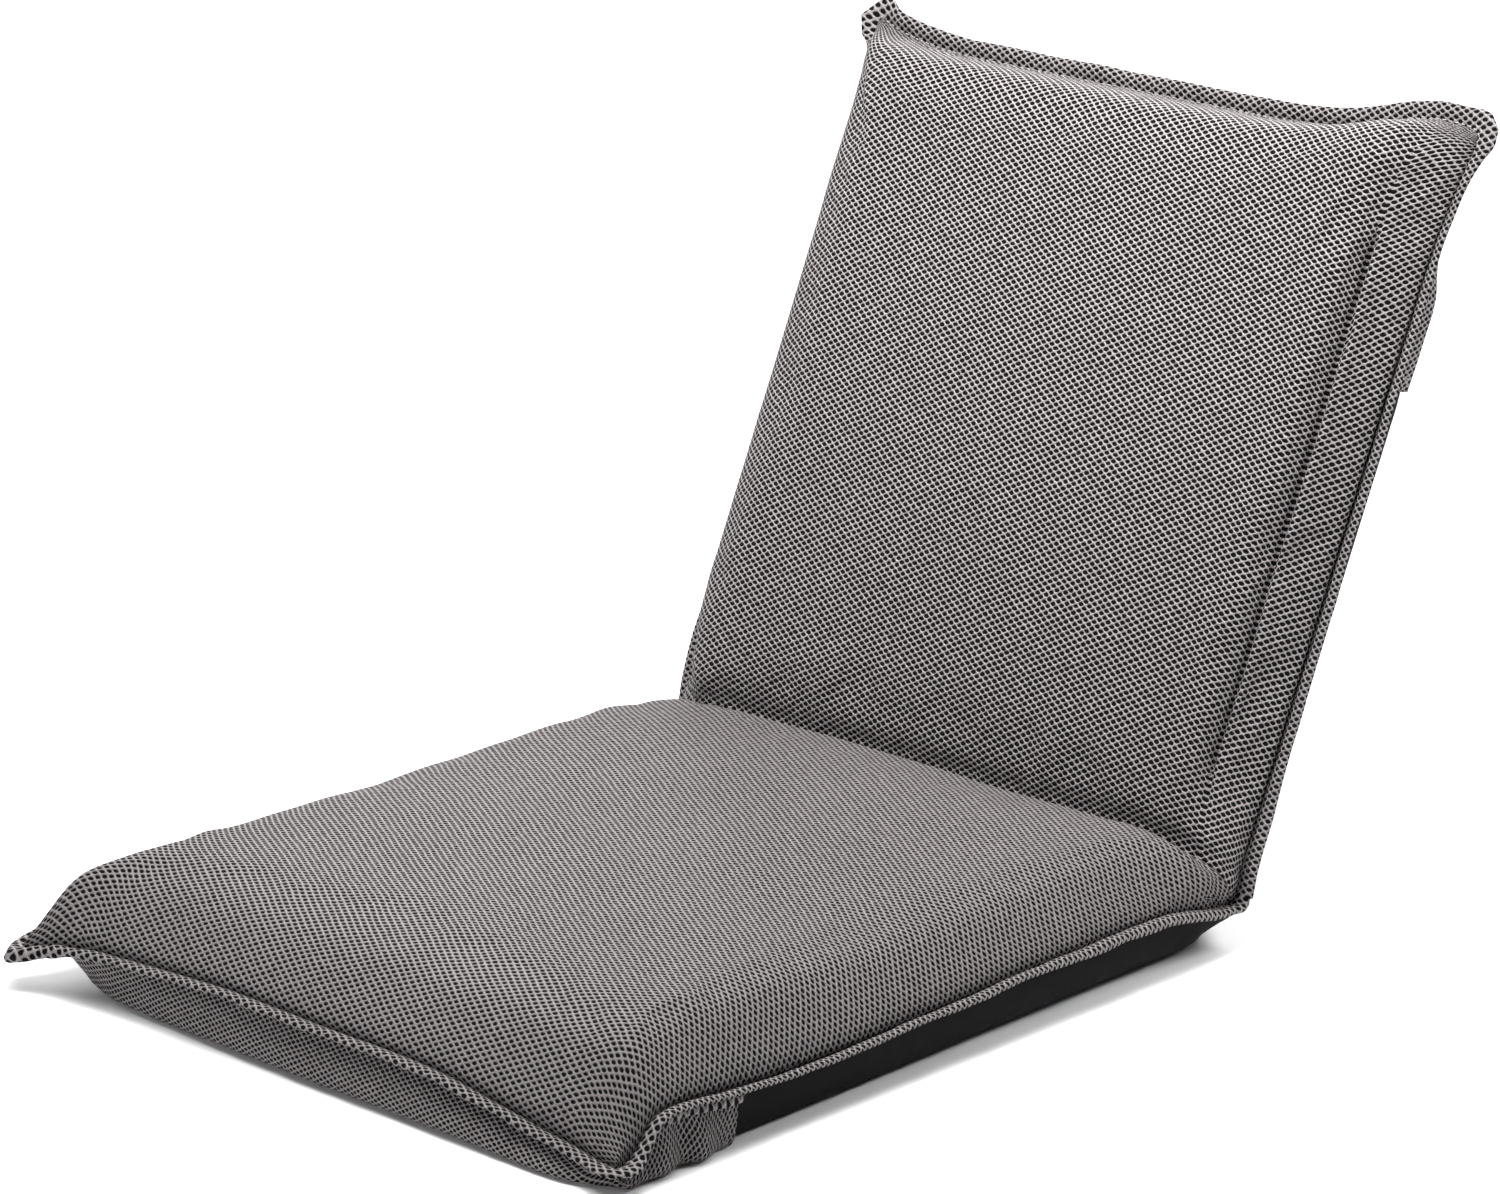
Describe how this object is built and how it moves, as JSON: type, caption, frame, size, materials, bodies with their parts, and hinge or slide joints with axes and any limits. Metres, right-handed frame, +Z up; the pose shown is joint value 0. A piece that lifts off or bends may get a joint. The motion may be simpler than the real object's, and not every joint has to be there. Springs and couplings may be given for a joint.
{
  "type": "folding floor chair",
  "caption": "Legless folding floor chair: padded air-mesh seat and backrest on two ratchet hinges, with a flat stitched flange round the edge.",
  "frame": {"origin": "on the floor, under the middle of the chair's outline at the drawn recline", "axes": "+Z up, +Y from the front of the seat towards the back, +X to the right seen from the front"},
  "size_m": [0.46, 0.6948, 0.4301],
  "materials": {
    "air_mesh": "grey polyester air mesh with rows of dark oval holes",
    "black_cloth": "plain black woven lining",
    "foam": "cut polyurethane foam",
    "webbing": "flat elastic webbing",
    "frame_steel": "black powder-coated steel tube",
    "hinge_steel": "zinc-plated pressed steel",
    "spring_steel": "tempered spring steel"
  },
  "bodies": {
    "seat": {"seat_cover": "air_mesh", "crease_cover": "air_mesh", "seat_front_wrap": "air_mesh", "seat_bottom_panel": "black_cloth", "heel_panel": "black_cloth", "seat_flange": "air_mesh", "hinge_flange_left": "air_mesh", "hinge_flange_right": "air_mesh", "seat_foam": "foam", "seat_heel_foam": "foam", "seat_under_pad": "foam", "seat_strap_rear": "webbing", "seat_strap_middle": "webbing", "seat_strap_front": "webbing", "seat_frame_tube": "frame_steel", "seat_cross_tube": "frame_steel", "hinge_case_outer_left": "hinge_steel", "hinge_case_inner_left": "hinge_steel", "hinge_case_outer_right": "hinge_steel", "hinge_case_inner_right": "hinge_steel", "pivot_rivet_left": "hinge_steel", "pivot_rivet_right": "hinge_steel", "pawl_rivet_left": "hinge_steel", "pawl_rivet_right": "hinge_steel", "stop_rivet_left": "hinge_steel", "stop_rivet_right": "hinge_steel", "pawl_spring_left": "spring_steel", "pawl_spring_right": "spring_steel", "seat_tube_rivet_left_near": "hinge_steel", "seat_tube_rivet_left_far": "hinge_steel", "seat_tube_rivet_right_near": "hinge_steel", "seat_tube_rivet_right_far": "hinge_steel"},
    "backrest": {"back_cover": "air_mesh", "back_hood": "air_mesh", "back_rear_panel": "black_cloth", "back_flange": "air_mesh", "back_foam": "foam", "back_heel_foam": "foam", "back_rear_pad": "foam", "back_strap_lower": "webbing", "back_strap_middle": "webbing", "back_strap_upper": "webbing", "back_frame_tube": "frame_steel", "back_cross_tube": "frame_steel", "ratchet_plate_left": "hinge_steel", "ratchet_plate_right": "hinge_steel", "back_tube_rivet_left_near": "hinge_steel", "back_tube_rivet_left_far": "hinge_steel", "back_tube_rivet_right_near": "hinge_steel", "back_tube_rivet_right_far": "hinge_steel"},
    "left_pawl": {"pawl_left": "hinge_steel"},
    "right_pawl": {"pawl_right": "hinge_steel"}
  },
  "joints": [
    {"name": "backrest_fold", "type": "hinge", "parent": "seat", "child": "backrest", "pos_m": [0, 0.1476, 0.0275], "axis": [-1, 0, 0], "range_deg": [-86.07, 64.55], "deforming": ["crease_cover", "heel_panel", "hinge_flange_left", "hinge_flange_right", "seat_heel_foam", "back_heel_foam"]},
    {"name": "left_pawl_swing", "type": "hinge", "parent": "seat", "child": "left_pawl", "pos_m": [-0.168, 0.12442, 0.02476], "axis": [1, 0, 0], "range_deg": [0, 8.6], "stiffness_Nm_per_rad": 0.05, "springref_deg": 8.59, "deforming": ["pawl_spring_left"]},
    {"name": "right_pawl_swing", "type": "hinge", "parent": "seat", "child": "right_pawl", "pos_m": [0.168, 0.12442, 0.02476], "axis": [1, 0, 0], "range_deg": [0, 8.6], "stiffness_Nm_per_rad": 0.05, "springref_deg": 8.59, "deforming": ["pawl_spring_right"]}
  ]
}
